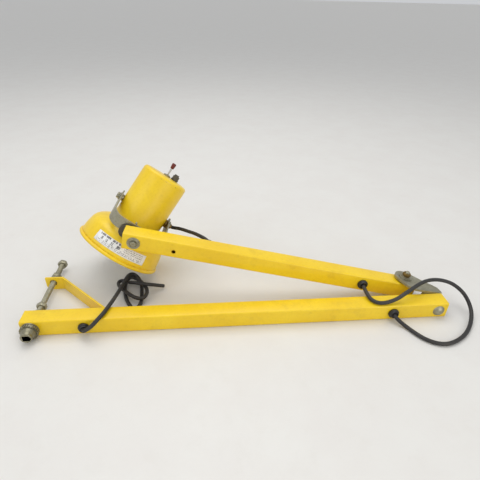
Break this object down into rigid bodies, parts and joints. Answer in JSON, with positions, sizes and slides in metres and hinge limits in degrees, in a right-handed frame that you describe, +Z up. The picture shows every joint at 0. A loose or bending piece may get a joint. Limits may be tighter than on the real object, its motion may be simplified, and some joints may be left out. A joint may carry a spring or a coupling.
{
  "type": "swing-arm dock light",
  "caption": "Two-strut folding swing-arm loading dock light with braced wall pin, elbow bracket, yoke-mounted shade lamp and cords, lying folded on its side.",
  "frame": {"origin": "on the wall pin's axis where it crosses the lower arm's centreline", "axes": "+X along the lower arm to the elbow, +Y along the wall pin towards its far end nut, +Z up from the surface it lies on"},
  "size_m": [0.9723, 0.4164, 0.2623],
  "materials": {
    "paint": "semi-gloss yellow enamel, worn and dusty",
    "zinc": "dull zinc-plated steel with rust spots",
    "dark_steel": "dull dark steel",
    "bright_steel": "plated",
    "brass": "tarnished",
    "black_plastic": "moulded",
    "cord_rubber": "dusty black jacket",
    "label": "printed film, scuffed",
    "socket_ceramic": "glazed",
    "bulb_glass": "frosted front",
    "red_cap": "dark red cap"
  },
  "bodies": {
    "lower_arm": {"lower_tube": "paint", "lower_end_plug": "black_plastic", "lower_hub_plug": "black_plastic", "brace_strap": "paint", "bushing_a": "black_plastic", "bushing_b": "black_plastic", "elbow_bolt": "zinc", "elbow_washer": "zinc", "elbow_nut": "zinc", "power_cord": "cord_rubber", "elbow_cord_lower": "cord_rubber"},
    "wall_pin": {"pivot_rod": "zinc", "hub_washer": "zinc", "serrated_ring": "zinc", "hub_cap": "zinc", "inner_nut": "zinc", "lock_nut": "zinc", "ear_washer": "zinc", "ear_nut": "zinc", "ear_lock_nut": "zinc", "end_nut": "zinc"},
    "elbow": {"elbow_bracket": "zinc"},
    "upper_arm": {"upper_tube": "paint", "upper_head_plug": "black_plastic", "upper_elbow_plug": "black_plastic", "bushing_c": "black_plastic", "bushing_d": "black_plastic", "tilt_bolt": "zinc", "tilt_spacer": "zinc", "tilt_washer": "zinc", "tilt_nut": "brass", "head_bolt": "zinc", "head_washer": "zinc", "wing_nut": "zinc", "elbow_cord_upper": "cord_rubber", "lamp_cord_arm": "cord_rubber"},
    "yoke": {"yoke_strap": "zinc", "swivel_plate": "dark_steel", "lamp_cord_yoke": "cord_rubber"},
    "lamp": {"shade": "paint", "housing": "paint", "housing_cap": "paint", "label": "label", "lamp_socket": "socket_ceramic", "bulb": "bulb_glass", "bulb_base": "brass", "tilt_screw": "zinc", "cord_gland": "brass", "gland_washer": "zinc", "gland_nut": "zinc", "switch_bushing": "zinc", "end_knob": "dark_steel"},
    "toggle": {"toggle_stalk": "bright_steel", "toggle_tip": "red_cap"}
  },
  "joints": [
    {"name": "wall_swing", "type": "hinge", "parent": "lower_arm", "child": "wall_pin", "pos_m": [0, 0, 0], "axis": [0, 1, 0], "range_deg": [-180, 180]},
    {"name": "elbow_raise", "type": "hinge", "parent": "lower_arm", "child": "elbow", "pos_m": [0.8691, 0, 0], "axis": [0, 1, 0], "range_deg": [0, 90]},
    {"name": "elbow_swing", "type": "hinge", "parent": "elbow", "child": "upper_arm", "pos_m": [0.81641, 0.06385, 0.00562], "axis": [0.2096, 0, 0.9778], "range_deg": [-100, 1]},
    {"name": "head_swivel", "type": "hinge", "parent": "upper_arm", "child": "yoke", "pos_m": [0.2094, 0.11949, 0.13575], "axis": [0.0575, 0.9983, -0.0123], "range_deg": [-18, 18]},
    {"name": "lamp_tilt", "type": "hinge", "parent": "yoke", "child": "lamp", "pos_m": [0.21327, 0.22746, 0.13614], "axis": [-0.8042, 0.0536, 0.5919], "range_deg": [-30, 0.5]},
    {"name": "switch_flip", "type": "hinge", "parent": "lamp", "child": "toggle", "pos_m": [0.27131, 0.26023, 0.21203], "axis": [-0.8042, 0.0536, 0.5919], "range_deg": [-14, 14]}
  ]
}
